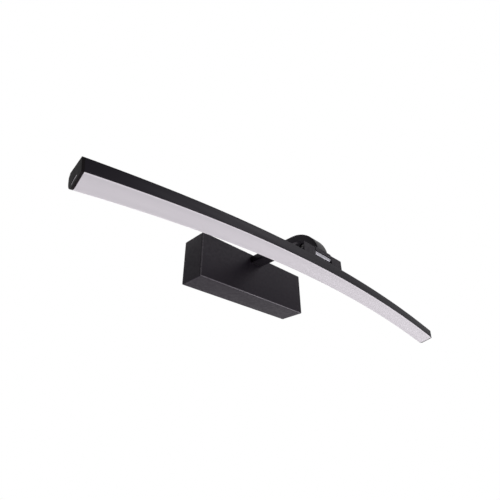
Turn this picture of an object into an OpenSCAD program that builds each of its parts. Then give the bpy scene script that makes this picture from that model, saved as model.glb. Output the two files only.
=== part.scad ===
// Picture light: a wall box holds a bent flat arm, and an arched LED lamp bar
// turns on a steel pin at the arm's end.
// X runs along the bar, Y points into the wall (the wall is the plane y = 0) and Z is up.
// The origin is the middle of the wall face. Everything is in millimetres.

/* [Wall box] */
// Width of the wall box
box_w = 150; // [140:1:180]
// Height of the wall box
box_h = 48; // [47:1:60]
// How far the wall box stands out from the wall
box_d = 29; // [29:1:40]
// Thickness of the folded cover
cover_t = 1.2; // [1:0.1:1.5]
// Thickness of the wall plate
plate_t = 1.5; // [1.2:0.1:2]
// Distance between the two wall screws
wall_screw_gap = 128; // [128:1:130]
// Diameter of the wall screw holes
wall_screw_d = 4.5; // [4:0.5:5]

/* [Arm] */
// Width of the flat arm tube
arm_w = 16; // [15:0.5:18]
// Thickness of the flat arm tube
arm_h = 8; // [7.5:0.5:8.5]
// Wall thickness of the arm tube
arm_t = 1.2; // [1:0.1:1.3]
// Height of the arm's top face above the middle of the box
arm_top = 21.5; // [20.5:0.5:21.5]
// Distance from the wall to the front face of the bent arm
arm_reach = 116; // [116:1:130]
// Outer radius of the bend
bend_r = 30; // [30:0.5:31]
// Angle through which the tube is bent
bend_angle = 80; // [78:1:80]

/* [Hinge] */
// Distance of the hinge axis behind the arm's front face
pivot_back = 3; // [3:0.1:3.2]
// Height of the hinge axis below the middle of the box
pivot_drop = 9; // [8.5:0.25:9.5]
// Diameter of the steel barrel on the arm
barrel_d = 5; // [4.6:0.2:5.4]
// Diameter of the hinge pin
pin_d = 3; // [2.8:0.1:3.2]
// Width of the slot between the saddle's two ears
slot_w = 25; // [24:0.5:26]
// Length of the saddle along the bar
saddle_w = 58; // [56:1:62]
// Depth of the saddle from front to back
saddle_depth = 16; // [15:0.5:16]
// Height of the saddle above the bar's front edge
saddle_h = 9.5; // [9.25:0.25:10]

/* [Lamp bar] */
// Radius of the arch along the bar's top edge
arch_r = 1340; // [1300:10:1600]
// Length of the bar along its arch, without the end caps
bar_len = 444; // [420:2:500]
// How far the bar's front face stands in front of the saddle
bar_proud = 0.6; // [0.4:0.1:1]
// Height of the bar's front wall
front_h = 9.3; // [9:0.1:9.6]
// Depth of the bar from front to back
bar_depth = 17.5; // [17.5:0.25:18.5]
// Wall thickness of the aluminium profile
profile_t = 1.3; // [1.2:0.1:1.4]
// Thickness of an end cap
cap_t = 1.6; // [1.2:0.1:2]

/* [Lighting] */
// Number of LEDs on the board
led_count = 44; // [40:1:46]
// Width of the LED board
board_w = 9; // [8:0.5:9]

/* [Hidden] */

black = [0.10, 0.10, 0.11];
zinc = [0.72, 0.73, 0.74];
opal = [0.93, 0.93, 0.94];
white = [0.9, 0.9, 0.88];
rubber = [0.06, 0.06, 0.06];

eps = 0.01;
round_fn = 48;
arch_fn = 1080;

// Inside of the wall box
gap = 0.4;
inner_w = box_w - 2 * cover_t;
inner_h = box_h - 2 * cover_t;
plate_w = inner_w - 2 * gap;
plate_h = inner_h - 2 * gap;
front_inner = -box_d + cover_t;

// Tabs folded forward from the wall plate, which take the cover screws
tab_w = 14;
tab_len = 12;
tab_x = 54;
cover_screw_y = -9;
cover_screw_d = 3;

// Cable inlet
cable_x = -15;
cable_hole_r = 7;
cable_way_r = 4;

// Driver and terminal block on the wall plate
driver = [56, 19, 30];
driver_x = 1;
block = [28, 13, 15];
block_x = -54;
block_z = -19;
way_pitch = 8.5;
earth_x = -38;
earth_z = 13;

// Arm foot behind the cover's front wall
foot_w = 42;
foot_h = 17;
foot_t = 2;
foot_screw_x = 14.5;
arm_mid = arm_top - arm_h / 2;
arm_start = front_inner + foot_t;
bend_y = -arm_reach + bend_r;
bend_z = arm_top - bend_r;
bend_mid_r = bend_r - arm_h / 2;

// Hinge
pin_y = pivot_back - arm_reach;
pin_z = -pivot_drop;
running_gap = 0.05;
barrel_len = slot_w - 1.4;
yoke_w = barrel_len;
washer_t = 0.6;
washer_d = 5.8;
pin_head_d = 4.4;
pin_head_t = 1.6;
nut_d = 4.4;
nut_t = 2.4;
counterbore_r = 2.5;
counterbore_len = 3;

// Lamp bar
bar_front = arm_reach + bar_proud;
bar_top = pin_z - 0.6 - saddle_h / 2;
half_angle = bar_len / arch_r / 2 * 180 / PI;
top_fall = 2.2;
bevel = [0.3, 2.2];
rear_h = 8.4;
board_t = 1;
top_w = bar_depth - 2.1;
top_angle = atan(top_fall / top_w);
screw_gap = 40;
lead_r = 0.6;
lead_x = 1.4;

// Aluminium profile as [distance back from the front face, distance down from the top edge]:
// around the outside from the front, then back along the inside with its two clip lips
outline = [
    [0, 0], [top_w, top_fall], [bar_depth - bevel[0], top_fall + bevel[1]], [bar_depth, rear_h],
    [bar_depth - profile_t, rear_h], [bar_depth - profile_t, rear_h - 1.8],
    [bar_depth - profile_t - 0.8, rear_h - 1.9], [bar_depth - profile_t - 0.8, rear_h - 2.6],
    [bar_depth - profile_t - 0.1, rear_h - 2.7], [bar_depth - profile_t - 0.4, top_fall + bevel[1] + 0.4],
    [top_w - 0.9, top_fall + profile_t], [profile_t, profile_t + 0.3],
    [profile_t, front_h - 2.6], [profile_t + 0.8, front_h - 2.5],
    [profile_t + 0.8, front_h - 1.8], [profile_t, front_h - 1.7],
    [profile_t, front_h], [0, front_h]
];

// Diffuser: a sloping face that runs tangent into a round rear corner
diffuser_t = 1.4;
face_start = [0.1, front_h + 0.35];
corner = [bar_depth - 4.65, rear_h + 0.4];
corner_r = 4.6;
to_corner = corner - face_start;
face_slope = atan2(to_corner[1], to_corner[0]) + asin(corner_r / norm(to_corner));

// Tab at each end of the diffuser, which shows in a slit of the end cap
tab_start = 5.5;
tab_length = 7.9;
tab_inset = 2.4;
tab_t = 0.8;

// ---------------------------------------------------------------- helpers

// Rounded rectangle centred on the origin
module round_rect(w, h, r) {
    square([w - 2 * r, h], center = true);
    square([w, h - 2 * r], center = true);
    for (x = [-1, 1], y = [-1, 1])
        translate([x * (w / 2 - r), y * (h / 2 - r)])
            circle(r, $fn = round_fn);
}

// Block given by its lowest and highest corners
module block_between(low, high) {
    translate(low)
        cube(high - low);
}

// Plate in the XZ plane: a 2D shape given as [x, z], from y0 (near the wall) to y1 (further out)
module upright(y0, y1) {
    translate([0, y0, 0])
        rotate([90, 0, 0])
            linear_extrude(y0 - y1)
                children();
}

// Cylinder along Y from y0 outwards to y1
module rod_y(x, z, r, y0, y1) {
    translate([x, y0, z])
        rotate([90, 0, 0])
            cylinder(r = r, h = y0 - y1, $fn = round_fn);
}

// Cylinder along X from x0 to x1
module rod_x(y, z, r, x0, x1) {
    translate([x0, y, z])
        rotate([0, 90, 0])
            cylinder(r = r, h = x1 - x0, $fn = round_fn);
}

// Prism along X whose section is a list of [y, z] points
module prism_x(points, width) {
    translate([-width / 2, 0, 0])
        rotate([90, 0, 90])
            linear_extrude(width)
                polygon(points);
}

// Sweeps a section along the bar's arch; the section holds [radius, -y] points
module along_arch(angle) {
    translate([0, 0, bar_top - arch_r])
        rotate([90, 0, 0])
            rotate([0, 0, 90 - angle])
                rotate_extrude(angle = 2 * angle, $fn = arch_fn)
                    children();
}

// Turns [back, down] points of the bar's section into the [radius, -y] points of along_arch
function arch_points(points) = [for (p = points) [arch_r - p[1], bar_front - p[0]]];

// Carries the children to the place at the given angle along the arch
module at_arch(angle) {
    translate([0, 0, bar_top - arch_r])
        rotate([0, angle, 0])
            translate([0, -bar_front, arch_r])
                children();
}

// Points of an arc in the bar's section
function arc(centre, r, from, to, steps) =
    [for (i = [0:steps]) let (a = from + (to - from) * i / steps) centre + r * [cos(a), sin(a)]];

// Smooth curve through a route's points
function blend(a, b, c, d, t) =
    0.5 * ((2 * b) + (c - a) * t + (2 * a - 5 * b + 4 * c - d) * t * t + (3 * b - a - 3 * c + d) * t * t * t);
function curve(route, steps) = let (last = len(route) - 1) [
    for (i = [0:last - 1], k = [0:steps - 1])
        blend(route[max(i - 1, 0)], route[i], route[i + 1], route[min(i + 2, last)], k / steps),
    route[last]
];
function unit(v) = v / norm(v);
function heading(path, i) = unit(path[min(i + 1, len(path) - 1)] - path[max(i - 1, 0)]);
function sides(path, i, last_side) =
    let (t = heading(path, i), s = unit(last_side - (last_side * t) * t))
    i == len(path) - 1 ? [s] : concat([s], sides(path, i + 1, s));

// Round tube of radius r along a route; start_side is any direction across its first stretch
module lead(route, r, start_side, steps = 4, n = 8) {
    path = curve(route, steps);
    side = sides(path, 0, start_side);
    rings = [
        for (i = [0:len(path) - 1], k = [0:n - 1])
            let (t = heading(path, i), a = 360 * k / n)
            path[i] + r * (cos(a) * side[i] + sin(a) * cross(t, side[i]))
    ];
    last = (len(path) - 1) * n;
    polyhedron(rings, concat(
        [[for (k = [0:n - 1]) k]],
        [for (i = [0:len(path) - 2], k = [0:n - 1])
            let (a = i * n + k, b = i * n + (k + 1) % n) [a, a + n, b]],
        [for (i = [0:len(path) - 2], k = [0:n - 1])
            let (a = i * n + k, b = i * n + (k + 1) % n) [b, a + n, b + n]],
        [[for (k = [n - 1:-1:0]) last + k]]
    ));
}

// ---------------------------------------------------------------- wall box

// Steel plate screwed to the wall, with four tabs folded forward
module wall_plate() {
    color(zinc)
        difference() {
            union() {
                upright(0, -plate_t)
                    round_rect(plate_w, plate_h, 1.5);
                for (x = [-tab_x, tab_x], z = [-1, 1])
                    translate([x - tab_w / 2, -tab_len, z > 0 ? plate_h / 2 - plate_t : -plate_h / 2])
                        cube([tab_w, tab_len - eps, plate_t]);
            }
            for (x = [-1, 1])
                rod_y(x * wall_screw_gap / 2, 0, wall_screw_d / 2, 1, -plate_t - 1);
            rod_y(cable_x, 0, cable_hole_r, 1, -plate_t - 1);
            rod_y(earth_x, earth_z, 1.6, 1, -plate_t - 1);
            for (x = [-tab_x, tab_x])
                translate([x, cover_screw_y, plate_h / 2 - plate_t - 1])
                    cylinder(d = cover_screw_d - 0.5, h = plate_t + 2, $fn = round_fn);
        }
}

// Rubber ring in the cable inlet, with a groove that holds the plate's edge
module cable_grommet() {
    lip = 1.5;
    color(rubber)
        translate([cable_x, 0, 0])
            rotate([90, 0, 0])
                rotate_extrude($fn = round_fn)
                    polygon([
                        [cable_way_r, 0.2], [cable_hole_r - 0.3, 0.2], [cable_hole_r - 0.05, plate_t + 0.05],
                        [cable_hole_r + lip, plate_t + 0.05], [cable_hole_r + lip, plate_t + 1.2],
                        [cable_way_r + 1, plate_t + 2], [cable_way_r, plate_t + 2]
                    ]);
}

// Folded steel cover, open at the back, with the arm's opening in its front wall
module box_cover() {
    edge_r = 1;
    color(black)
        difference() {
            upright(0, -box_d)
                round_rect(box_w, box_h, edge_r);
            upright(1, front_inner)
                square([inner_w, inner_h], center = true);
            block_between(
                [-arm_w / 2 - 0.1, -box_d - 1, arm_top - arm_h - 0.1],
                [arm_w / 2 + 0.1, front_inner + 1, arm_top + 0.1]
            );
            for (x = [-tab_x, tab_x])
                translate([x, cover_screw_y, box_h / 2 - cover_t - 1])
                    cylinder(d = cover_screw_d + 0.4, h = cover_t + 2, $fn = round_fn);
            for (x = [-foot_screw_x, foot_screw_x])
                rod_y(x, arm_mid, 1.3, front_inner + 1, front_inner - 0.6);
        }
}

// Two pan head screws through the cover's top wall
module cover_screws() {
    color(black)
        for (x = [-tab_x, tab_x])
            translate([x, cover_screw_y, box_h / 2])
                pan_screw(cover_screw_d - 0.5, 6, 5.6, 1.6);
}

// Pan head screw pointing down from the origin, with a cross recess
module pan_screw(shank_d, length, head_d, head_t) {
    difference() {
        union() {
            translate([0, 0, -length])
                cylinder(d = shank_d, h = length + eps, $fn = round_fn);
            cylinder(d1 = head_d, d2 = head_d * 0.7, h = head_t, $fn = round_fn);
        }
        for (a = [0, 90])
            rotate([0, 0, a])
                translate([-head_d * 0.28, -0.35, head_t - 0.9])
                    cube([head_d * 0.56, 0.7, 2]);
    }
}

// Three-way terminal block, with a round way for each conductor
module terminal_block() {
    color(white)
        difference() {
            block_between(
                [block_x, -plate_t - block[1], block_z],
                [block_x + block[0], -plate_t, block_z + block[2]]
            );
            for (i = [0:2]) {
                x = block_x + block[0] / 2 + (i - 1) * way_pitch;
                translate([x, -plate_t - 5, block_z - 1])
                    cylinder(r = 1.8, h = block[2] + 2, $fn = round_fn);
                for (z = [4, block[2] - 4])
                    rod_y(x, block_z + z, 1.7, -plate_t - 5, -plate_t - block[1] - 1);
            }
        }
}

// Clamping screws of the terminal block
module terminal_screws() {
    color(zinc)
        for (i = [0:2], z = [4, block[2] - 4]) {
            x = block_x + block[0] / 2 + (i - 1) * way_pitch;
            difference() {
                rod_y(x, block_z + z, 1.6, -plate_t - 7.4, -plate_t - block[1] + 1);
                block_between(
                    [x - 2, -plate_t - block[1] - 1, block_z + z - 0.3],
                    [x + 2, -plate_t - block[1] + 1.8, block_z + z + 0.3]
                );
            }
        }
}

// Earth screw in the wall plate, with its ring tag and washer
module earth_screw() {
    color([0.78, 0.68, 0.36]) {
        rod_y(earth_x, earth_z, 1.55, -0.2, -plate_t - 3);
        rod_y(earth_x, earth_z, 3.6, -plate_t, -plate_t - 0.8);
        rod_y(earth_x, earth_z, 2.9, -plate_t - 0.8 + eps, -plate_t - 3);
    }
}

// Earth conductor from the terminal block to the ring tag
module earth_lead() {
    first_x = block_x + block[0] / 2 - way_pitch;
    top = block_z + block[2];
    color([0.35, 0.6, 0.2])
        lead([
            [first_x, -plate_t - 5, top - 3], [first_x, -plate_t - 5, top + 3],
            [first_x + 1, -plate_t - 4, top + 9], [first_x + 5, -plate_t - 2.6, 12],
            [earth_x - 5.4, -plate_t - 1.9, earth_z], [earth_x - 3.7, -plate_t - 1.6, earth_z]
        ], 0.9, [0, 1, 0]);
}

// Live and neutral conductors from the terminal block to the driver
module supply_leads() {
    top = block_z + block[2];
    color([0.45, 0.25, 0.15])
        for (i = [0, 1]) {
            x = block_x + block[0] / 2 + i * way_pitch;
            lead([
                [x, -plate_t - 5, top - 3], [x, -plate_t - 5, top + 2],
                [x + 4 - i, -plate_t - 8 - 3 * i, 4], [-18, -plate_t - 12 - 2 * i, 8 - 2 * i],
                [-6, -plate_t - 9, 9 - 3 * i], [driver_x, -plate_t - 8, 9 - 3 * i]
            ], 0.9, [0, 1, 0]);
        }
}

// LED driver, a closed plastic case with a parting groove
module driver_case() {
    y_far = -plate_t - driver[1];
    z = driver[2] / 2;
    color(white)
        difference() {
            block_between([driver_x, y_far, -z], [driver_x + driver[0], -plate_t, z]);
            for (side = [-1, 1])
                translate([driver_x - 1, y_far + 5, side * z - 0.4])
                    cube([driver[0] + 2, 0.8, 0.8]);
        }
}

// Sprung steel strap that holds the driver on the plate
module driver_clip() {
    t = 0.8;
    w = 10;
    x = driver_x + driver[0] / 2 - w / 2;
    z = driver[2] / 2 + 0.05;
    y_far = -plate_t - driver[1] - 0.05;
    color(zinc)
        difference() {
            union() {
                block_between([x, y_far - t, -z - t], [x + w, -plate_t, z + t]);
                for (side = [-1, 1])
                    block_between([x, -plate_t - t, side * z - 5], [x + w, -plate_t, side * z + 5]);
            }
            block_between([x - 1, y_far, -z], [x + w + 1, -plate_t + 1, z]);
        }
}

// ---------------------------------------------------------------- arm

// Flat rectangular tube: straight out of the box, then bent down
module arm_tube() {
    module ring()
        difference() {
            square([arm_w, arm_h], center = true);
            square([arm_w - 2 * arm_t, arm_h - 2 * arm_t], center = true);
        }
    color(black) {
        translate([0, arm_start, arm_mid])
            rotate([90, 0, 0])
                linear_extrude(arm_start - bend_y)
                    ring();
        translate([0, bend_y, bend_z])
            rotate([0, -90, 180])
                rotate_extrude(angle = bend_angle, $fn = 180)
                    translate([bend_mid_r, 0])
                        rotate(90)
                            ring();
    }
}

// Plate welded to the arm's end and screwed behind the cover's front wall
module arm_foot() {
    color(zinc)
        difference() {
            block_between(
                [-foot_w / 2, front_inner, arm_mid - foot_h / 2 + 0.3],
                [foot_w / 2, front_inner + foot_t, inner_h / 2 - 0.3]
            );
            block_between(
                [-arm_w / 2, front_inner - 1, arm_top - arm_h],
                [arm_w / 2, front_inner + foot_t + 1, arm_top]
            );
            for (x = [-foot_screw_x, foot_screw_x])
                rod_y(x, arm_mid, 1.6, front_inner + foot_t + 1, front_inner - 1);
        }
}

// Weld studs with their nuts, two of each, holding the foot to the cover
module foot_screws() {
    color(zinc)
        for (x = [-foot_screw_x, foot_screw_x]) {
            rod_y(x, arm_mid, 1.3, front_inner + foot_t + 3.4, front_inner - 0.6);
            translate([x, front_inner + foot_t + 2.2, arm_mid])
                rotate([90, 0, 0])
                    cylinder(d = 5.6, h = 2.2, $fn = 6);
        }
}

// Plastic bush in the arm's open end, which keeps the leads off the steel edge
module arm_bush() {
    w = arm_w - 2 * arm_t - 0.2;
    h = arm_h - 2 * arm_t - 0.2;
    color(rubber)
        difference() {
            union() {
                block_between([-w / 2, arm_start - 4, arm_mid - h / 2], [w / 2, arm_start, arm_mid + h / 2]);
                block_between(
                    [-arm_w / 2, arm_start, arm_top - arm_h],
                    [arm_w / 2, arm_start + 1, arm_top]
                );
            }
            block_between(
                [-w / 2 + 1, arm_start - 5, arm_mid - h / 2 + 1],
                [w / 2 - 1, arm_start + 2, arm_mid + h / 2 - 1]
            );
        }
}

// Low-voltage pair from the driver through the arm to the yoke
module arm_leads() {
    out_x = driver_x + driver[0];
    exit_r = bend_r - arm_h + 1.95;
    color([0.6, 0.1, 0.1])
        for (side = [-1, 1]) {
            x = side * lead_x;
            z = 4 + side * 2;
            bend = [
                for (a = [8:12:bend_angle])
                let (r = bend_mid_r + (exit_r - bend_mid_r) * pow(min(1, a / 60), 3))
                [x, bend_y - r * sin(a), bend_z + r * cos(a)]
            ];
            lead(concat([
                [out_x, -plate_t - 10, z], [out_x + 5, -plate_t - 11, z], [out_x + 4, -plate_t - 15, z + 1],
                [out_x - 4, -plate_t - 21.8, z + 2 * side + 2], [30, -plate_t - 22.6, z + 2 * side + 3],
                [23, -plate_t - 21.5, 10 + side], [10 + x, -plate_t - 21.6, 13 + side],
                [x + 2, -plate_t - 22.6, arm_mid], [x, arm_start - 4, arm_mid], [x, -40, arm_mid],
                [x, -60, arm_mid], [x, bend_y + 2, arm_mid]
            ], bend), lead_r, [0, 0, 1], 3);
        }
}

// End piece in the arm's mouth, with a small ledge in front, which carries the hinge barrel
module arm_yoke() {
    tang_w = arm_w - 2 * arm_t - 0.1;
    tang_h = arm_h - 2 * arm_t - 0.1;
    tang_angle = 18;
    inner = bend_r - arm_h;
    tip = [bend_y - bend_r * sin(bend_angle), bend_z + bend_r * cos(bend_angle)];
    heel = [bend_y - inner * sin(bend_angle), bend_z + inner * cos(bend_angle)];
    front = -arm_reach - 0.3;
    color(black)
        difference() {
            union() {
                prism_x([
                    heel, tip, [tip[0], tip[1] - 0.9], [front, tip[1] - 1.1],
                    [front, pin_z + 1.3], [pin_y - 1.5, pin_z + 0.8],
                    [pin_y + 0.6, pin_z - 2.1], [pin_y + 3.2, pin_z - 1.8], [pin_y + 4.2, pin_z + 0.6]
                ], yoke_w);
                translate([0, bend_y, bend_z])
                    rotate([0, -90, 180])
                        rotate([0, 0, bend_angle - tang_angle])
                            rotate_extrude(angle = tang_angle + 0.5, $fn = 180)
                                translate([bend_mid_r, 0])
                                    square([tang_h, tang_w], center = true);
            }
            rod_x(pin_y, pin_z, barrel_d / 2, -yoke_w, yoke_w);
            translate([0, bend_y, bend_z])
                rotate([0, -90, 180])
                    rotate([0, 0, bend_angle - tang_angle - 5])
                        rotate_extrude(angle = tang_angle + 40, $fn = 180)
                            translate([inner + 0.9, 0])
                                square([3.8, 2 * lead_x + 2.2], center = true);
        }
}

// Satin steel barrel brazed into the yoke; the hinge pin runs in it
module hinge_barrel() {
    color(zinc)
        difference() {
            rod_x(pin_y, pin_z, barrel_d / 2, -barrel_len / 2, barrel_len / 2);
            rod_x(pin_y, pin_z, pin_d / 2 + running_gap, -barrel_len, barrel_len);
        }
}

// ---------------------------------------------------------------- hinge

// Two thin steel washers that give the hinge its friction
module friction_washers() {
    color(zinc)
        for (side = [-1, 1]) {
            x = side * (barrel_len / 2 + 0.05 + washer_t / 2);
            difference() {
                rod_x(pin_y, pin_z, washer_d / 2, x - washer_t / 2, x + washer_t / 2);
                rod_x(pin_y, pin_z, pin_d / 2 + running_gap, x - washer_t, x + washer_t);
            }
        }
}

// Hinge pin with its round head in the left ear
module hinge_pin() {
    head_x = -saddle_w / 2 + counterbore_len;
    color(zinc)
        difference() {
            union() {
                rod_x(pin_y, pin_z, pin_d / 2, head_x - eps, saddle_w / 2 - 0.4);
                rod_x(pin_y, pin_z, pin_head_d / 2, head_x - pin_head_t, head_x);
            }
            block_between(
                [head_x - pin_head_t - 1, pin_y - 2, pin_z - 0.35],
                [head_x - pin_head_t + 0.7, pin_y + 2, pin_z + 0.35]
            );
        }
}

// Round slotted nut on the pin's threaded end, in the right ear
module hinge_nut() {
    x = saddle_w / 2 - counterbore_len;
    slot_depth = 0.7;
    color(zinc)
        difference() {
            rod_x(pin_y, pin_z, nut_d / 2, x, x + nut_t);
            rod_x(pin_y, pin_z, pin_d / 2, x - 1, x + nut_t + 1);
            block_between(
                [x + nut_t - slot_depth, pin_y - nut_d, pin_z - 0.35],
                [x + nut_t + 1, pin_y + nut_d, pin_z + 0.35]
            );
        }
}

// Saddle on the bar's back: a thin floor and two ears with the arm's slot between them
module saddle() {
    front = -arm_reach;
    back = front + saddle_depth;
    top = bar_top + saddle_h;
    back_r = 8.5;
    floor_t = 1.2;
    floor_top = bar_top + floor_t;
    slope = tan(top_angle);
    color(black)
        difference() {
            union() {
                difference() {
                    intersection() {
                        prism_x([
                            [front, bar_top - 8], [back, bar_top - 8], [back, top], [front, top]
                        ], saddle_w);
                        union() {
                            prism_x([
                                [front, bar_top - 8], [back, bar_top - 8],
                                [back, top - back_r], [front, top - back_r]
                            ], saddle_w);
                            prism_x([
                                [front, top - back_r - 1], [back - back_r, top - back_r - 1],
                                [back - back_r, top], [front, top]
                            ], saddle_w);
                            rod_x(back - back_r, top - back_r, back_r, -saddle_w / 2, saddle_w / 2);
                        }
                    }
                    block_between([-slot_w / 2, front - 1, bar_top - 20], [slot_w / 2, back + 1, top + 1]);
                }
                prism_x([
                    [front, floor_top], [front, bar_top - 8], [back, bar_top - 8],
                    [back, floor_top - saddle_depth * slope]
                ], slot_w + 2);
            }
            bar_block();
            rod_x(pin_y, pin_z, pin_d / 2, -saddle_w, saddle_w);
            for (side = [-1, 1])
                rod_x(
                    pin_y, pin_z, counterbore_r,
                    side > 0 ? saddle_w / 2 - counterbore_len : -saddle_w,
                    side > 0 ? saddle_w : -saddle_w / 2 + counterbore_len
                );
            for (x = [-screw_gap / 2, screw_gap / 2])
                saddle_screw_axis(x)
                    translate([0, 0, -8])
                        cylinder(r = 1.3, h = 13, $fn = round_fn);
            head_lead_way(2.2);
        }
}

// The space under the saddle that the bar fills
module bar_block() {
    along_arch(2)
        polygon(arch_points([
            [-3, -0.03], [0, -0.03], [top_w, top_fall - 0.03], [30, top_fall + 2], [30, 16], [-3, 16]
        ]));
}

// Frame of a saddle screw: origin on the bar's top face, Z along the screw
module saddle_screw_axis(x) {
    at_arch(asin(x / arch_r))
        translate([0, 0.62 * saddle_depth, -0.62 * saddle_depth * tan(top_angle)])
            rotate([-top_angle, 0, 0])
                children();
}

// Hole through the saddle's floor and the bar's top wall for the leads
module head_lead_way(r) {
    translate([0, pin_y + 5, bar_top - 8])
        cylinder(r = r, h = 10, $fn = round_fn);
}

// Two screws from inside the bar into the saddle's ears
module saddle_screws() {
    head_at = -profile_t - 0.15;
    color(zinc)
        for (x = [-screw_gap / 2, screw_gap / 2])
            saddle_screw_axis(x)
                translate([0, 0, head_at])
                    rotate([180, 0, 0])
                        pan_screw(2.6, 6.2, 4.6, 1.3);
}

// Rubber ring in the lead hole
module saddle_grommet() {
    color(rubber)
        difference() {
            translate([0, pin_y + 5, bar_top - 3.6])
                cylinder(r = 2.1, h = 3.2, $fn = round_fn);
            translate([0, pin_y + 5, bar_top - 6])
                cylinder(r = 1.5, h = 8, $fn = round_fn);
        }
}

// Continuation of the low-voltage pair from the hinge to the LED board
module head_leads() {
    color([0.6, 0.1, 0.1])
        for (side = [-1, 1]) {
            y = pin_y + 5 + side * 0.75;
            lead([
                [0, y, bar_top - 0.2], [0, y, bar_top - 2], [0, y, bar_top - 4.5],
                [0.9, y - 0.3, bar_top - 6.4], [3.2, y - 0.9, bar_top - 7.4],
                [5.2, y - 1.1, bar_top - 7.2], [6.9, y - 1.1, bar_top - 6.9]
            ], lead_r, [1, 0, 0], 4);
        }
}

// ---------------------------------------------------------------- lamp bar

// Arched aluminium profile, open below
module bar_profile() {
    color(black)
        difference() {
            along_arch(half_angle)
                polygon(arch_points(outline));
            for (x = [-screw_gap / 2, screw_gap / 2])
                saddle_screw_axis(x)
                    translate([0, 0, -6])
                        cylinder(r = 1.5, h = 8, $fn = round_fn);
            head_lead_way(2.2);
        }
}

// Place of the board's stack: [back, down] of a point a given depth under the bar's top wall
function under_top(back, depth) = [back, back * tan(top_angle) + depth / cos(top_angle)];
board_back = 3;
board_depth = profile_t + 2.0;
// Angle along the arch from one LED to the next
led_pitch = 2 * (half_angle - 0.6) / (led_count - 1);

// A flat strip under the top wall, from one depth to another
module strip(width, depth, thickness, angle) {
    along_arch(angle)
        polygon(arch_points([
            under_top(board_back, depth), under_top(board_back + width, depth),
            under_top(board_back + width, depth + thickness), under_top(board_back, depth + thickness)
        ]));
}

// Heat-conducting adhesive pad between board and profile, cut out round the saddle's screws and the leads
module thermal_tape() {
    top = profile_t + 0.15;
    color([0.75, 0.75, 0.8])
        difference() {
            strip(board_w, top, board_depth - 0.05 - top, half_angle - 0.3);
            for (x = [-screw_gap / 2, screw_gap / 2])
                saddle_screw_axis(x)
                    translate([0, 0, -6])
                        cylinder(r = 2.6, h = 8, $fn = round_fn);
            head_lead_way(2.4);
        }
}

// LED board with a hole for the leads
module led_board() {
    color(white)
        difference() {
            strip(board_w, board_depth, board_t, half_angle - 0.25);
            head_lead_way(1.9);
        }
}

// LEDs in one row along the board
module led_chips() {
    chip = [3.5, 2.8, 0.8];
    base = under_top(board_back + board_w / 2, board_depth + board_t);
    color([0.95, 0.85, 0.35])
        for (i = [0:led_count - 1])
            at_arch((i - (led_count - 1) / 2) * led_pitch)
                translate([0, base[0], -base[1]])
                    rotate([-top_angle, 0, 0])
                        translate([-chip[0] / 2, -chip[1] / 2, -chip[2]])
                            cube(chip);
}

// Small connector on the board that takes the leads
module board_terminal() {
    base = under_top(board_back + board_w / 2, board_depth + board_t);
    color(white)
        at_arch(led_pitch)
            translate([0, base[0], -base[1]])
                rotate([-top_angle, 0, 0])
                    translate([-2.6, -2, -2.4])
                        cube([5.2, 4, 2.4]);
}

// Carries the children to the diffuser's sloping face at one end of the bar:
// X points out of the bar, Y back along the face and Z up into the bar
module on_face(side) {
    at_arch(side * half_angle)
        translate([0, face_start[0], -face_start[1]])
            rotate([-face_slope, 0, 0])
                mirror([side > 0 ? 0 : 1, 0, 0])
                    children();
}

// Opal diffuser with two legs that clip into the profile and a tab at each end
module diffuser() {
    t = diffuser_t;
    rear_leg = bar_depth - profile_t - 0.05;
    front_leg = profile_t + 0.05;
    leg_t = 0.9;
    leg_h = 1.6;
    inner_front = front_leg + leg_t;
    inner_drop = face_start[1] + (inner_front - face_start[0]) * tan(face_slope) - t / cos(face_slope);
    inner_turn = acos((rear_leg - leg_t - corner[0]) / (corner_r - t));
    color(opal) {
        along_arch(half_angle)
            polygon(arch_points(concat(
                [face_start], arc(corner, corner_r, 90 + face_slope, 3, 9),
                [
                    [bar_depth - 0.05, rear_h + 0.05], [rear_leg, rear_h + 0.05],
                    [rear_leg, rear_h - leg_h], [rear_leg - leg_t, rear_h - leg_h]
                ],
                arc(corner, corner_r - t, inner_turn, 90 + face_slope, 7),
                [
                    [inner_front, inner_drop], [inner_front, front_h - leg_h], [front_leg, front_h - leg_h],
                    [front_leg, front_h + 0.05], [face_start[0], front_h + 0.05]
                ]
            )));
        for (side = [-1, 1])
            on_face(side) {
                translate([-4, tab_start, t - 0.2])
                    cube([4 - 0.02, tab_length, tab_inset + tab_t - t + 0.2]);
                translate([-1, tab_start, tab_inset])
                    cube([cap_t + 1 - 0.15, tab_length, tab_t]);
            }
    }
}

// Full outline of the bar's end
module end_outline() {
    polygon([
        for (p = concat([[0, 0], [0, face_start[1]]], arc(corner, corner_r, 90 + face_slope, 0, 9), [
            [bar_depth, rear_h], [bar_depth - bevel[0], top_fall + bevel[1]], [top_w, top_fall]
        ])) [p[0], -p[1]]
    ]);
}

// End cap: a plate with a slit for the diffuser's tab and two spigots that enter the profile
module end_cap(side) {
    spigot = 5;
    color(black)
        difference() {
            at_arch(side * half_angle)
                mirror([side > 0 ? 0 : 1, 0, 0])
                    union() {
                        translate([0.02, 0, 0])
                            rotate([90, 0, 90])
                                linear_extrude(cap_t)
                                    end_outline();
                        block_between(
                            [-spigot, profile_t + 0.2, -front_h + 3.4],
                            [0.03, profile_t + 1.2, -profile_t - 0.8]
                        );
                        block_between(
                            [-spigot, bar_depth - 4, -rear_h + 3],
                            [0.03, bar_depth - 3, -top_fall - profile_t - 0.4]
                        );
                    }
            on_face(side)
                translate([-1, tab_start - 0.1, tab_inset - 0.1])
                    cube([cap_t + 2, tab_length + 0.2, tab_t + 0.2]);
        }
}

module left_end_cap() {
    end_cap(-1);
}

module right_end_cap() {
    end_cap(1);
}

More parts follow.
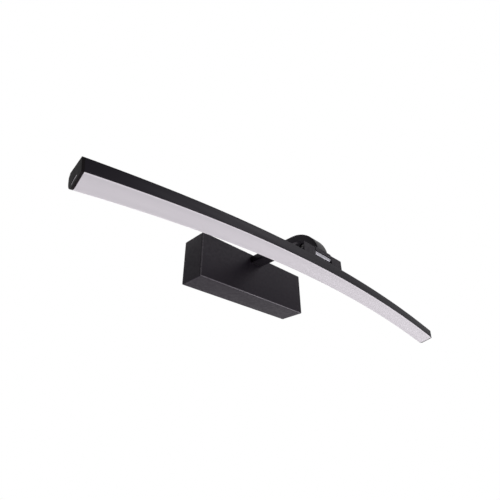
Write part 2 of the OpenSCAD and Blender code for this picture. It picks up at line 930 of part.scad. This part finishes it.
wall_plate();
cable_grommet();
box_cover();
cover_screws();
terminal_block();
terminal_screws();
earth_screw();
earth_lead();
supply_leads();
driver_case();
driver_clip();
arm_tube();
arm_foot();
foot_screws();
arm_bush();
arm_leads();
arm_yoke();
hinge_barrel();
friction_washers();
hinge_pin();
hinge_nut();
saddle();
saddle_screws();
saddle_grommet();
head_leads();
bar_profile();
thermal_tape();
led_board();
led_chips();
board_terminal();
diffuser();
left_end_cap();
right_end_cap();
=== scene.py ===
"""Looks of the picture light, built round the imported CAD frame.

A black wall box holds a bent flat arm, and an arched lamp bar tilts on a satin steel barrel at the
arm's end. Lengths are in metres, in the frame's own axes: X along the bar, Y into the wall, Z up.
"""

import math

import bmesh
import bpy
from mathutils import Matrix, Vector


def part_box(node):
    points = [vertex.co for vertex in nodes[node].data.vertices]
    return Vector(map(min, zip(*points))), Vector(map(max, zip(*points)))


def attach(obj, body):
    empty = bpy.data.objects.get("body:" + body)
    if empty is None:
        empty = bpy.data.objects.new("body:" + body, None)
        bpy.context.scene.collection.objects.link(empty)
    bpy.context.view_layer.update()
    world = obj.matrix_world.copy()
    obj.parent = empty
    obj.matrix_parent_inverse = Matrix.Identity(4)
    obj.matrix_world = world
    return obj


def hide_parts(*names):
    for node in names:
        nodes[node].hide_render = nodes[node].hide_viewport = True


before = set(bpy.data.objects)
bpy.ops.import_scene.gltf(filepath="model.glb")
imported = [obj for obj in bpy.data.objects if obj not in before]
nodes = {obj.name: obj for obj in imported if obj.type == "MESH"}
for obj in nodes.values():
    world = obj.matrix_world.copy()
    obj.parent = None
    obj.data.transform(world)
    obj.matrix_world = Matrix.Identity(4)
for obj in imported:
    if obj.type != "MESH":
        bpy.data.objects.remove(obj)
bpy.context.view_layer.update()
MM = 0.001

# The lamp bar's arch, whose middle plane stands upright
ARCH_R = 1.340
BAR_LEN = 0.444
HALF_ANGLE = BAR_LEN / ARCH_R / 2
SADDLE_H = 9.5 * MM
BAR_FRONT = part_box("bar_profile")[0].y
BAR_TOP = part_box("saddle")[1].z - SADDLE_H

# The arm's flat tube, and where its bend starts
ARM_H = 8 * MM
ARM_WALL = 1.2 * MM
BEND_R = 30 * MM
BEND_ANGLE = 80
BEND_Y = -0.086


# ---------------------------------------------------------------- shapes

def arc(centre, radius, start, end, steps):
    """Points of an arc, with both ends; angles in degrees."""
    points = []
    for i in range(steps + 1):
        a = math.radians(start + (end - start) * i / steps)
        points.append((centre[0] + radius * math.cos(a), centre[1] + radius * math.sin(a)))
    return points


def softened(points, radius, steps=3, least_turn=25):
    """The same closed outline with each real corner replaced by a small round."""
    out = []
    for i, here in enumerate(points):
        here = Vector(here)
        before = Vector(points[i - 1]) - here
        after = Vector(points[(i + 1) % len(points)]) - here
        turn = math.degrees(before.angle(-after))
        if turn < least_turn:
            out.append(tuple(here))
            continue
        r = min(radius, 0.45 * before.length, 0.45 * after.length)
        a, b = here + before.normalized() * r, here + after.normalized() * r
        for k in range(steps + 1):
            t = k / steps
            out.append(tuple(a * (1 - t) ** 2 + here * 2 * t * (1 - t) + b * t * t))
    return out


def rounded_rect(width, height, radius, steps=4):
    """Outline of a rounded rectangle centred on the origin."""
    w, h = width / 2 - radius, height / 2 - radius
    return (
        arc((w, h), radius, 0, 90, steps) + arc((-w, h), radius, 90, 180, steps)
        + arc((-w, -h), radius, 180, 270, steps) + arc((w, -h), radius, 270, 360, steps)
    )


def finish_mesh(bm, name, smooth_below=35):
    """Turns a bmesh into an object, smooth except across sharp edges."""
    bmesh.ops.remove_doubles(bm, verts=bm.verts, dist=1e-7)
    bmesh.ops.recalc_face_normals(bm, faces=bm.faces)
    mesh = bpy.data.meshes.new(name)
    bm.to_mesh(mesh)
    bm.free()
    mesh.polygons.foreach_set("use_smooth", [True] * len(mesh.polygons))
    mesh.set_sharp_from_angle(angle=math.radians(smooth_below))
    piece = bpy.data.objects.new(name, mesh)
    bpy.context.scene.collection.objects.link(piece)
    return piece


def join_rings(bm, a, b):
    """Quads between two rings of vertices."""
    for i in range(len(a)):
        j = (i + 1) % len(a)
        bm.faces.new((a[i], a[j], b[j], b[i]))


def add_rings(bm, rings):
    """Quads between rings of points; returns the rings' vertices."""
    made = [[bm.verts.new(p) for p in ring] for ring in rings]
    for a, b in zip(made, made[1:]):
        join_rings(bm, a, b)
    return made


def ring_edges(bm, ring):
    """The edges of one closed ring, made where they are missing."""
    pairs = zip(ring, ring[1:] + ring[:1])
    return [bm.edges.get(pair) or bm.edges.new(pair) for pair in pairs]


def fill(bm, *rings):
    """Flat face inside the first ring, with the other rings as holes."""
    edges = [e for ring in rings for e in ring_edges(bm, ring)]
    bmesh.ops.triangle_fill(bm, use_beauty=True, use_dissolve=False, edges=edges)


def refine_edges(node, width, edge_look):
    """Small rounds on a CAD node's sharp edges, which catch the light, in their own material; where
    that is the lighter edge black, its colour adds a painted highlight along the edges.
    """
    node.data.materials.append(edge_look)
    weld = node.modifiers.new("join_faces", "WELD")
    weld.merge_threshold = 1e-6
    bevel = node.modifiers.new("edge_rounds", "BEVEL")
    bevel.width = width
    bevel.segments = 2
    bevel.limit_method = "ANGLE"
    bevel.angle_limit = math.radians(35)
    bevel.use_clamp_overlap = True
    bevel.material = 1


# ---------------------------------------------------------------- materials

def paint_light_and_shade_across(tree, place, blend, shader, centre, radius, stops):
    """Paints light and shade into a colour: multiplies it by a brightness that changes with the
    distance from the arch's top edge.
    """
    offset = tree.nodes.new("ShaderNodeVectorMath")
    offset.operation = "SUBTRACT"
    offset.inputs[1].default_value = centre
    tree.links.new(place.outputs["Object"], offset.inputs[0])
    flat = tree.nodes.new("ShaderNodeVectorMath")
    flat.operation = "MULTIPLY"
    flat.inputs[1].default_value = (1, 0, 1)
    tree.links.new(offset.outputs["Vector"], flat.inputs[0])
    reach = tree.nodes.new("ShaderNodeVectorMath")
    reach.operation = "LENGTH"
    tree.links.new(flat.outputs["Vector"], reach.inputs[0])
    first, last = stops[0][0], stops[-1][0]
    down = tree.nodes.new("ShaderNodeMapRange")
    down.inputs["From Min"].default_value = radius - first * MM
    down.inputs["From Max"].default_value = radius - last * MM
    tree.links.new(reach.outputs["Value"], down.inputs["Value"])
    tone = tree.nodes.new("ShaderNodeValToRGB")
    elements = tone.color_ramp.elements
    while len(elements) < len(stops):
        elements.new(0.5)
    for element, (depth_mm, level) in zip(elements, stops):
        element.position = (depth_mm - first) / (last - first)
        element.color = (level, level, level, 1)
    tree.links.new(down.outputs["Result"], tone.inputs["Fac"])
    shade = tree.nodes.new("ShaderNodeMix")
    shade.data_type = "RGBA"
    shade.blend_type = "MULTIPLY"
    shade.inputs["Factor"].default_value = 1.0
    tree.links.new(blend.outputs[2], shade.inputs[6])
    tree.links.new(tone.outputs["Color"], shade.inputs[7])
    tree.links.new(shade.outputs[2], shader.inputs["Base Color"])


def material(
    name, colour, rough, metallic=0.0, specular=0.5, spread=0.12, rough_spread=0.06, patch=25.0,
    grain=2500.0, stretch=(1, 1, 1), bump=0.15, depth=0.00004, coat=0.0,
    tint=(1, 1, 1), across=None,
):
    """Painted, moulded or metal surface: slow colour patches, uneven gloss and a fine relief.

    across = (centre of the arch, its radius, [(millimetres down from the top edge, brightness), ...])
    paints light and shade on a piece of the lamp bar over its width: a lighter band is a painted
    highlight, a darker one is painted shade.
    """
    mat = bpy.data.materials.new(name)
    mat.use_nodes = True
    tree = mat.node_tree
    shader = tree.nodes["Principled BSDF"]
    shader.inputs["Metallic"].default_value = metallic
    shader.inputs["Specular IOR Level"].default_value = specular
    shader.inputs["Specular Tint"].default_value = (*tint, 1)
    shader.inputs["Coat Weight"].default_value = coat
    shader.inputs["Coat Roughness"].default_value = 0.25

    place = tree.nodes.new("ShaderNodeTexCoord")
    scaled = tree.nodes.new("ShaderNodeMapping")
    scaled.inputs["Scale"].default_value = stretch
    tree.links.new(place.outputs["Object"], scaled.inputs["Vector"])

    def noise(scale, detail, stretched=True):
        node = tree.nodes.new("ShaderNodeTexNoise")
        node.inputs["Scale"].default_value = scale
        node.inputs["Detail"].default_value = detail
        source = scaled.outputs["Vector"] if stretched else place.outputs["Object"]
        tree.links.new(source, node.inputs["Vector"])
        return node.outputs["Fac"]

    def ramp(value, low, high):
        node = tree.nodes.new("ShaderNodeMapRange")
        node.inputs["From Min"].default_value = 0.3
        node.inputs["From Max"].default_value = 0.7
        node.inputs["To Min"].default_value = low
        node.inputs["To Max"].default_value = high
        tree.links.new(value, node.inputs["Value"])
        return node.outputs["Result"]

    blend = tree.nodes.new("ShaderNodeMix")
    blend.data_type = "RGBA"
    dark = [c * (1 - spread) for c in colour]
    light = [min(1.0, c * (1 + spread)) for c in colour]
    blend.inputs[6].default_value = (*dark, 1)
    blend.inputs[7].default_value = (*light, 1)
    mixed = tree.nodes.new("ShaderNodeMath")
    mixed.operation = "MULTIPLY_ADD"
    mixed.inputs[1].default_value = 0.5
    tree.links.new(noise(patch, 3.0, False), mixed.inputs[0])
    half = tree.nodes.new("ShaderNodeMath")
    half.operation = "MULTIPLY"
    half.inputs[1].default_value = 0.5
    tree.links.new(noise(grain * 0.35, 4.0), half.inputs[0])
    tree.links.new(half.outputs["Value"], mixed.inputs[2])
    tree.links.new(ramp(mixed.outputs["Value"], 0.0, 1.0), blend.inputs["Factor"])
    tree.links.new(blend.outputs[2], shader.inputs["Base Color"])

    if across:
        paint_light_and_shade_across(tree, place, blend, shader, *across)

    gloss = ramp(noise(grain * 0.12, 5.0), rough - rough_spread, rough + rough_spread)
    tree.links.new(gloss, shader.inputs["Roughness"])

    relief = tree.nodes.new("ShaderNodeBump")
    relief.inputs["Strength"].default_value = bump
    relief.inputs["Distance"].default_value = depth
    tree.links.new(noise(grain, 3.0), relief.inputs["Height"])
    tree.links.new(relief.outputs["Normal"], shader.inputs["Normal"])
    return mat


def dress(piece, mat):
    """Gives the whole piece one material."""
    piece.data.materials.clear()
    piece.data.materials.append(mat)


# Tint of the reflections on black surfaces
COOL = (0.97, 0.90, 1.0)

POWDER_BLACK = material(
    "powder_black", (0.0092, 0.0064, 0.0112), 0.5, specular=0.22, spread=0.15, rough_spread=0.06,
    grain=2600.0, bump=0.35, depth=0.00005, tint=COOL,
)
ARM_BLACK = material(
    "arm_black", (0.0070, 0.0052, 0.0080), 0.36, specular=0.30, spread=0.15, rough_spread=0.05,
    grain=2600.0, bump=0.2, depth=0.00004, tint=COOL,
)
# A lighter black for edge rounds, about eight times as bright as the powder coat: a painted highlight
# along the edges.
EDGE_HIGHLIGHT_BLACK = material(
    "edge_highlight_black", (0.075, 0.068, 0.078), 0.3, specular=0.6, spread=0.2, rough_spread=0.06,
    grain=1500.0, bump=0.15, depth=0.00003, tint=COOL,
)
BAR_BLACK = material(
    "bar_black", (0.0078, 0.0060, 0.0105), 0.45, specular=0.2, spread=0.12, rough_spread=0.05,
    grain=1800.0, stretch=(0.05, 1, 1), bump=0.2, depth=0.00004, tint=COOL,
)
CAP_BLACK = material(
    "cap_black", (0.0072, 0.0050, 0.0060), 0.52, specular=0.12, spread=0.15,
    grain=1600.0, bump=0.3, depth=0.00005,
)
# The opal's across stops paint light and shade: full brightness 9.2 to 9.75 mm down, by the front
# strip, is a painted highlight line, and the darker 0.80 to 0.84 over the face below is painted shade.
OPAL = material(
    "opal", (0.80, 0.765, 0.81), 0.5, specular=0.3, spread=0.02, rough_spread=0.05, patch=12.0,
    grain=900.0, stretch=(0.04, 1, 1), bump=0.08, depth=0.00004,
    across=((0, 0, BAR_TOP - ARCH_R), ARCH_R, [
        (9.2, 1.0), (9.75, 1.0), (10.0, 0.80), (11.2, 0.84), (12.4, 0.84), (13.4, 0.80),
    ]),
)
SATIN_STEEL = material(
    "satin_steel", (0.50, 0.49, 0.53), 0.55, metallic=1.0, spread=0.03, rough_spread=0.03,
    grain=6000.0, stretch=(0.5, 1, 1), bump=0.08, depth=0.00001,
)
ZINC = material(
    "zinc", (0.56, 0.58, 0.60), 0.34, metallic=1.0, spread=0.12, rough_spread=0.1, patch=60.0,
    grain=900.0, bump=0.15, depth=0.00003,
)
BLACK_ZINC = material(
    "black_zinc", (0.05, 0.048, 0.052), 0.3, metallic=0.9, spread=0.2, grain=1500.0, bump=0.2,
)
DARK_STEEL = material(
    "dark_steel", (0.16, 0.155, 0.16), 0.3, metallic=1.0, spread=0.15, grain=1800.0, bump=0.15,
)
BRASS = material(
    "brass", (0.66, 0.5, 0.22), 0.32, metallic=1.0, spread=0.1, grain=1200.0, bump=0.2,
)
RUBBER = material(
    "rubber", (0.022, 0.022, 0.023), 0.68, specular=0.3, spread=0.2,
    grain=1500.0, bump=0.4, depth=0.00008,
)
WHITE_PLASTIC = material(
    "white_plastic", (0.74, 0.74, 0.71), 0.42, spread=0.03, grain=1200.0, bump=0.25, depth=0.00005,
)
GREEN_LEAD = material(
    "green_lead", (0.2, 0.42, 0.08), 0.4, spread=0.08, grain=900.0, bump=0.15,
)
BROWN_LEAD = material(
    "brown_lead", (0.17, 0.07, 0.03), 0.4, spread=0.08, grain=900.0, bump=0.15,
)
RED_LEAD = material(
    "red_lead", (0.38, 0.02, 0.018), 0.4, spread=0.08, grain=900.0, bump=0.15,
)
GREY_PAD = material(
    "grey_pad", (0.3, 0.31, 0.34), 0.7, spread=0.1, grain=700.0, bump=0.4, depth=0.0001,
)
LED_YELLOW = material(
    "led_yellow", (0.78, 0.6, 0.14), 0.3, spread=0.08, grain=1500.0, bump=0.1, coat=0.4,
)

NODE_LOOKS = (
    (ZINC, (
        "wall_plate", "terminal_screws", "driver_clip", "arm_foot", "foot_screws",
        "saddle_screws",
    )),
    (RUBBER, ("cable_grommet", "saddle_grommet")),
    (BLACK_ZINC, ("cover_screws", "friction_washers", "hinge_nut")),
    (WHITE_PLASTIC, ("terminal_block", "driver_case", "led_board", "board_terminal")),
    (BRASS, ("earth_screw",)),
    (GREEN_LEAD, ("earth_lead",)),
    (BROWN_LEAD, ("supply_leads",)),
    (CAP_BLACK, ("arm_bush", "left_end_cap", "right_end_cap")),
    (RED_LEAD, ("arm_leads", "head_leads")),
    (POWDER_BLACK, ("arm_yoke", "saddle")),
    (SATIN_STEEL, ("hinge_barrel",)),
    (DARK_STEEL, ("hinge_pin",)),
    (GREY_PAD, ("thermal_tape",)),
    (LED_YELLOW, ("led_chips",)),
)
for look, names in NODE_LOOKS:
    for name in names:
        dress(nodes[name], look)
# The saddle's and yoke's edge rounds take the lighter edge black, a painted highlight; the end caps'
# rounds keep the caps' own black.
for name, width, edge_look in (
    ("saddle", 0.45 * MM, EDGE_HIGHLIGHT_BLACK), ("arm_yoke", 0.35 * MM, EDGE_HIGHLIGHT_BLACK),
    ("left_end_cap", 0.25 * MM, CAP_BLACK), ("right_end_cap", 0.25 * MM, CAP_BLACK),
):
    refine_edges(nodes[name], width, edge_look)


# ---------------------------------------------------------------- wall box cover

def make_cover():
    """Folded cover with soft front edges and a fine seam behind the front plate."""
    low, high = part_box("box_cover")
    width, height, front = high.x - low.x, high.z - low.z, low.y
    wall, corner, least_corner = 1.2 * MM, 1.0 * MM, 0.2 * MM
    seam_at, seam_wide, seam_deep, edge = 1.35 * MM, 0.35 * MM, 0.35 * MM, 0.8 * MM
    arm_low, arm_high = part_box("arm_tube")
    slack, rim_fold = 0.12 * MM, 0.15 * MM
    left, right = arm_low.x - slack, arm_high.x + slack
    top, bottom = arm_high.z + slack, arm_high.z - ARM_H - slack
    opening = softened([(left, top), (left, bottom), (right, bottom), (right, top)], 0.5 * MM)

    def ring(inset, y):
        outline = rounded_rect(width - 2 * inset, height - 2 * inset, max(corner - inset, least_corner))
        return [(x, y, z) for x, z in outline]

    rounding = [
        (edge * (1 - math.cos(math.radians(a))), front + edge * (1 - math.sin(math.radians(a))))
        for a in (0, 22.5, 45, 67.5, 90)
    ]
    outer = [ring(rim_fold, high.y), ring(0, high.y - rim_fold)]
    outer += [ring(0, front + seam_at + seam_wide), ring(seam_deep, front + seam_at + 0.8 * seam_wide)]
    outer += [ring(seam_deep, front + seam_at + 0.2 * seam_wide), ring(0, front + seam_at)]
    outer += [ring(inset, y) for inset, y in rounding]
    inner = [ring(wall, front + wall), ring(wall, high.y)]
    bm = bmesh.new()
    outside = add_rings(bm, outer)
    inside = add_rings(bm, inner)
    join_rings(bm, inside[-1], outside[0])
    mouth = add_rings(bm, [[(x, y, z) for x, z in opening] for y in (front, front + wall)])
    fill(bm, outside[-1], mouth[0])
    fill(bm, inside[0], mouth[1])
    # The cover's front rounds take the lighter edge black: a painted highlight along the front edges.
    rim = {v for points in outside[-len(rounding):] for v in points}
    for face in bm.faces:
        if len(face.verts) == 4 and all(v in rim for v in face.verts):
            face.material_index = 1
    piece = finish_mesh(bm, "cover_shell", 30)
    piece.data.materials.append(POWDER_BLACK)
    piece.data.materials.append(EDGE_HIGHLIGHT_BLACK)
    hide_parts("box_cover")
    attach(piece, "wall_base")


make_cover()


# ---------------------------------------------------------------- arm

def make_arm():
    """Flat tube with rounded corners: straight out of the box, then bent down."""
    low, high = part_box("arm_tube")
    width = high.x - low.x
    middle = high.z - ARM_H / 2
    mid_radius = BEND_R - ARM_H / 2
    bend_z = high.z - BEND_R
    straight_steps, bend_steps = 6, 40
    outer = rounded_rect(width, ARM_H, 1.1 * MM, 5)
    inner = rounded_rect(width - 2 * ARM_WALL, ARM_H - 2 * ARM_WALL, 0.4 * MM, 5)

    def straight(outline, y):
        return [(x, y, middle + z) for x, z in outline]

    def bent(outline, degrees):
        a = math.radians(degrees)
        return [
            (x, BEND_Y - (mid_radius + z) * math.sin(a), bend_z + (mid_radius + z) * math.cos(a))
            for x, z in outline
        ]

    def run(outline):
        length = BEND_Y - high.y
        rings = [straight(outline, high.y + length * i / straight_steps) for i in range(straight_steps)]
        return rings + [bent(outline, BEND_ANGLE * i / bend_steps) for i in range(bend_steps + 1)]

    bm = bmesh.new()
    outside = add_rings(bm, run(outer))
    inside = add_rings(bm, run(inner))
    for end in (0, -1):
        join_rings(bm, outside[end], inside[end])
    piece = finish_mesh(bm, "arm_shell", 30)
    dress(piece, ARM_BLACK)
    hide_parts("arm_tube")
    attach(piece, "wall_base")


make_arm()


# ---------------------------------------------------------------- lamp bar

# The bar's section in millimetres: back from the front face, down from the top edge
DEPTH, FRONT_H, REAR_H = 17.5, 9.3, 8.4
TOP_W, TOP_FALL, WALL = 15.4, 2.2, 1.3
CORNER, CORNER_R = (DEPTH - 4.65, REAR_H + 0.4), 4.6
FACE = (0.1, FRONT_H + 0.35)
# Slope in degrees of the diffuser's flat face, which runs from FACE and touches the corner's arc
TO_CORNER = (CORNER[0] - FACE[0], CORNER[1] - FACE[1])
FACE_SLOPE = math.degrees(
    math.atan2(TO_CORNER[1], TO_CORNER[0]) + math.asin(CORNER_R / math.hypot(*TO_CORNER))
)


def on_arch(section, angle):
    """[back, down] points in millimetres, carried to an angle along the arch."""
    points = []
    for back, down in section:
        r = ARCH_R - down * MM
        x, z = r * math.sin(angle), BAR_TOP - ARCH_R + r * math.cos(angle)
        points.append((x, BAR_FRONT + back * MM, z))
    return points


def sweep(bm, section, reach, steps=90):
    """Sweeps a closed section along the arch and closes both ends."""
    rings = add_rings(bm, [on_arch(section, reach * (2 * i / steps - 1)) for i in range(steps + 1)])
    fill(bm, rings[0])
    fill(bm, rings[-1])


def make_bar():
    """Arched aluminium profile with fine rounds along its edges."""
    inner_back = DEPTH - WALL
    section = softened([
        (0, 0), (TOP_W, TOP_FALL), (DEPTH - 0.3, TOP_FALL + 2.2), (DEPTH, REAR_H),
        (inner_back, REAR_H), (inner_back, REAR_H - 1.8), (inner_back - 0.8, REAR_H - 1.9),
        (inner_back - 0.8, REAR_H - 2.6), (inner_back - 0.1, REAR_H - 2.7),
        (inner_back - 0.4, TOP_FALL + 2.6), (TOP_W - 0.9, TOP_FALL + WALL), (WALL, WALL + 0.3),
        (WALL, FRONT_H - 2.6), (WALL + 0.8, FRONT_H - 2.5), (WALL + 0.8, FRONT_H - 1.8),
        (WALL, FRONT_H - 1.7), (WALL, FRONT_H), (0, FRONT_H),
    ], 0.28)
    bm = bmesh.new()
    sweep(bm, section, HALF_ANGLE)
    piece = finish_mesh(bm, "bar_shell", 40)
    dress(piece, BAR_BLACK)
    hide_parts("bar_profile")
    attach(piece, "head")


def make_diffuser():
    """Opal diffuser with its two clip legs and a tab at each end."""
    t, leg, leg_h = 1.4, 0.9, 1.6
    front_leg, rear_leg = WALL + 0.05, DEPTH - WALL - 0.05
    inner_front = front_leg + leg
    slope = math.radians(FACE_SLOPE)
    inner_start = math.degrees(math.acos((rear_leg - leg - CORNER[0]) / (CORNER_R - t)))
    section = [(FACE[0], FACE[1])]
    section += arc(CORNER, CORNER_R, 90 + FACE_SLOPE, 3, 20)
    section += [
        (DEPTH - 0.05, REAR_H + 0.05), (rear_leg, REAR_H + 0.05),
        (rear_leg, REAR_H - leg_h), (rear_leg - leg, REAR_H - leg_h),
    ]
    section += arc(CORNER, CORNER_R - t, inner_start, 90 + FACE_SLOPE, 14)
    section += [
        (inner_front, FACE[1] + (inner_front - FACE[0]) * math.tan(slope) - t / math.cos(slope)),
        (inner_front, FRONT_H - leg_h), (front_leg, FRONT_H - leg_h),
        (front_leg, FRONT_H + 0.05), (FACE[0], FRONT_H + 0.05),
    ]
    bm = bmesh.new()
    sweep(bm, softened(section, 0.12), HALF_ANGLE)
    tab_start, tab_len, tab_in, tab_t, cap_t = 5.5, 7.9, 2.4, 0.8, 1.6

    def slab(shallow, deep):
        """Corners of a slab behind the flat face, between two depths."""
        return [
            (
                FACE[0] + along * math.cos(slope) + inward * math.sin(slope),
                FACE[1] + along * math.sin(slope) - inward * math.cos(slope),
            )
            for along, inward in (
                (tab_start, shallow), (tab_start + tab_len, shallow),
                (tab_start + tab_len, deep), (tab_start, deep),
            )
        ]

    block = slab(t - 0.2, tab_in + tab_t)
    tab = softened(slab(tab_in, tab_in + tab_t), 0.2)
    for side in (-1, 1):
        outward = Vector((side * math.cos(HALF_ANGLE), 0, -math.sin(HALF_ANGLE))) * MM
        for shape, start, end in ((block, -4, -0.02), (tab, -1, cap_t - 0.15)):
            points = on_arch(shape, side * HALF_ANGLE)
            rings = [[Vector(p) + outward * reach for p in points] for reach in (start, end)]
            made = add_rings(bm, rings)
            fill(bm, made[0])
            fill(bm, made[1])
    piece = finish_mesh(bm, "diffuser_lens", 30)
    dress(piece, OPAL)
    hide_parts("diffuser")
    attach(piece, "head")


make_bar()
make_diffuser()


# ---------------------------------------------------------------- studio

def make_floor(height, radius):
    """Plain pale floor well below the wall lamp, out of the main camera's view."""
    bm = bmesh.new()
    bmesh.ops.create_circle(bm, cap_ends=True, segments=96, radius=radius)
    for v in bm.verts:
        v.co.z = height
    floor = finish_mesh(bm, "studio_floor")
    dress(floor, material(
        "pale_floor", (0.82, 0.82, 0.82), 0.7, specular=0.2, spread=0.01, patch=2.0,
        grain=60.0, bump=0.02,
    ))


def soft_light(name, place, target, size, power, colour=(1, 1, 1), spread=180):
    """Square soft box aimed at a point, its beam spread in degrees; the camera doesn't see it."""
    light = bpy.data.lights.new(name, "AREA")
    light.shape = "SQUARE"
    light.size = size
    light.energy = power
    light.color = colour
    light.spread = math.radians(spread)
    lamp = bpy.data.objects.new(name, light)
    lamp.location = place
    lamp.rotation_euler = (Vector(target) - Vector(place)).to_track_quat("-Z", "Y").to_euler()
    lamp.visible_camera = False
    bpy.context.scene.collection.objects.link(lamp)


def make_camera(place, azimuth, elevation, roll, lens):
    """Camera at a place, aimed by azimuth and elevation, with a small roll; angles in degrees."""
    az, el, ro = math.radians(azimuth), math.radians(elevation), math.radians(roll)
    ahead = Vector((math.sin(az) * math.cos(el), math.cos(az) * math.cos(el), math.sin(el)))
    right = ahead.cross(Vector((0, 0, 1))).normalized()
    up = right.cross(ahead)
    right, up = right * math.cos(ro) + up * math.sin(ro), up * math.cos(ro) - right * math.sin(ro)
    data = bpy.data.cameras.new("camera")
    data.sensor_width = 36.0
    data.lens = lens
    data.clip_start = 0.005
    data.clip_end = 50.0
    camera = bpy.data.objects.new("camera", data)
    turn = Matrix((right, up, -ahead)).transposed().to_4x4()
    camera.matrix_world = Matrix.Translation(place) @ turn
    bpy.context.scene.collection.objects.link(camera)
    bpy.context.scene.camera = camera


def make_world(bright_side, low, high):
    """White surroundings whose light falls off from one side of the studio to the other."""
    world = bpy.data.worlds.new("studio")
    world.use_nodes = True
    tree = world.node_tree
    light = tree.nodes["Background"]
    place = tree.nodes.new("ShaderNodeTexCoord")
    toward = tree.nodes.new("ShaderNodeVectorMath")
    toward.operation = "DOT_PRODUCT"
    toward.inputs[1].default_value = Vector(bright_side).normalized()
    tree.links.new(place.outputs["Generated"], toward.inputs[0])
    level = tree.nodes.new("ShaderNodeMapRange")
    level.inputs["From Min"].default_value = -1
    level.inputs["To Min"].default_value = low
    level.inputs["To Max"].default_value = high
    tree.links.new(toward.outputs["Value"], level.inputs["Value"])
    tree.links.new(level.outputs["Result"], light.inputs["Strength"])
    light.inputs["Color"].default_value = (1, 1, 1, 1)
    backdrop = tree.nodes.new("ShaderNodeBackground")
    backdrop.inputs["Color"].default_value = (1, 1, 1, 1)
    seen = tree.nodes.new("ShaderNodeLightPath")
    either = tree.nodes.new("ShaderNodeMixShader")
    tree.links.new(seen.outputs["Is Camera Ray"], either.inputs["Fac"])
    tree.links.new(light.outputs["Background"], either.inputs[1])
    tree.links.new(backdrop.outputs["Background"], either.inputs[2])
    tree.links.new(either.outputs["Shader"], tree.nodes["World Output"].inputs["Surface"])
    bpy.context.scene.world = world


FLOOR_Z = -0.75
make_floor(FLOOR_Z, radius=7.0)
make_world(bright_side=(1, 1, -1), low=0.1, high=1.1)
soft_light("key", place=(0.55, -0.95, 0.65), target=(0, -0.08, 0), size=0.5, power=2.5)
soft_light(
    "edge", place=(0.65, -0.45, -0.62), target=(0, -0.03, -0.02), size=0.35, power=0.64, spread=76,
)
soft_light(
    "over_floor", place=(0.7, 1.3, 0.9), target=(0.3, 0.8, FLOOR_Z), size=1.4, power=42.0,
    colour=(1.0, 0.95, 1.0),
)
make_camera(
    place=(-0.2649, -0.2850, -0.1755), azimuth=44.90, elevation=29.44, roll=-0.48, lens=27.05,
)
bpy.context.scene.view_settings.view_transform = "Standard"
